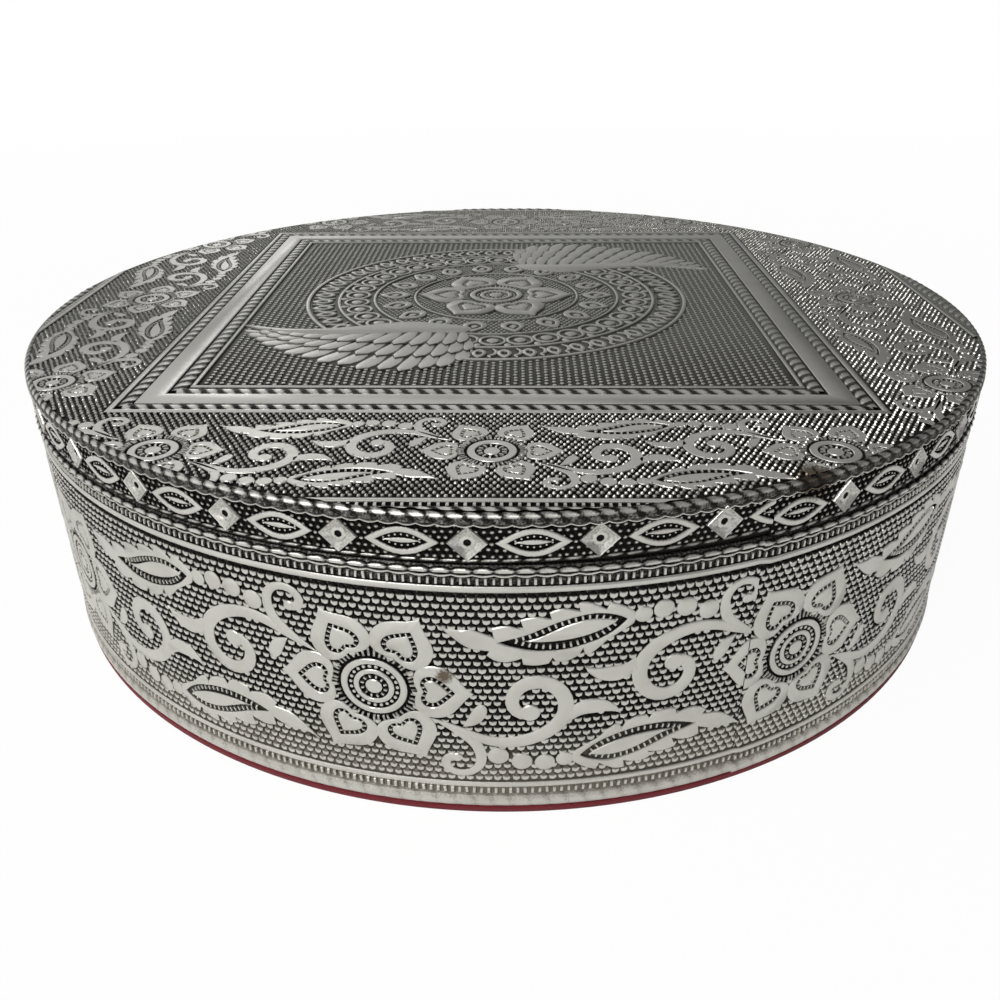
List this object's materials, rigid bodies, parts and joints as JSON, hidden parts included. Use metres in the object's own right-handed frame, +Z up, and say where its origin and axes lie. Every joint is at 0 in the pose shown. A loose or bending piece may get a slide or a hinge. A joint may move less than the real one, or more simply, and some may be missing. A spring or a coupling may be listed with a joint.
{
  "type": "trinket box",
  "caption": "Round keepsake box of board clad in embossed floral sheet metal, velvet lined, with a shallow lift-off lid seated on an inner collar.",
  "frame": {"origin": "centre of the felt's underside, where the box stands on the table", "axes": "+Z up, the way the lid lifts; -Y is the front seen in the picture, with a side of the square frame on the lid facing it; +X to the right"},
  "size_m": [0.2016, 0.2016, 0.0561],
  "materials": {
    "sheet": "embossed white-metal sheet, satin on the raised work, black patina in the ground",
    "board": "plain board, hidden by the sheet and the velvet",
    "velvet": "dark red velvet",
    "felt": "red felt"
  },
  "bodies": {
    "base": {"base_felt": "felt", "base_board": "board", "base_wall": "board", "base_collar": "board", "base_sheet": "sheet", "base_lining": "velvet", "base_floor_pad": "velvet"},
    "lid": {"lid_board": "board", "lid_wall": "board", "lid_pad": "velvet", "lid_top_sheet": "sheet", "lid_band": "sheet"}
  },
  "joints": [
    {"name": "lid_lift", "type": "slide", "parent": "base", "child": "lid", "axis": [0, 0, 1], "range_m": [0, 0.09]}
  ]
}
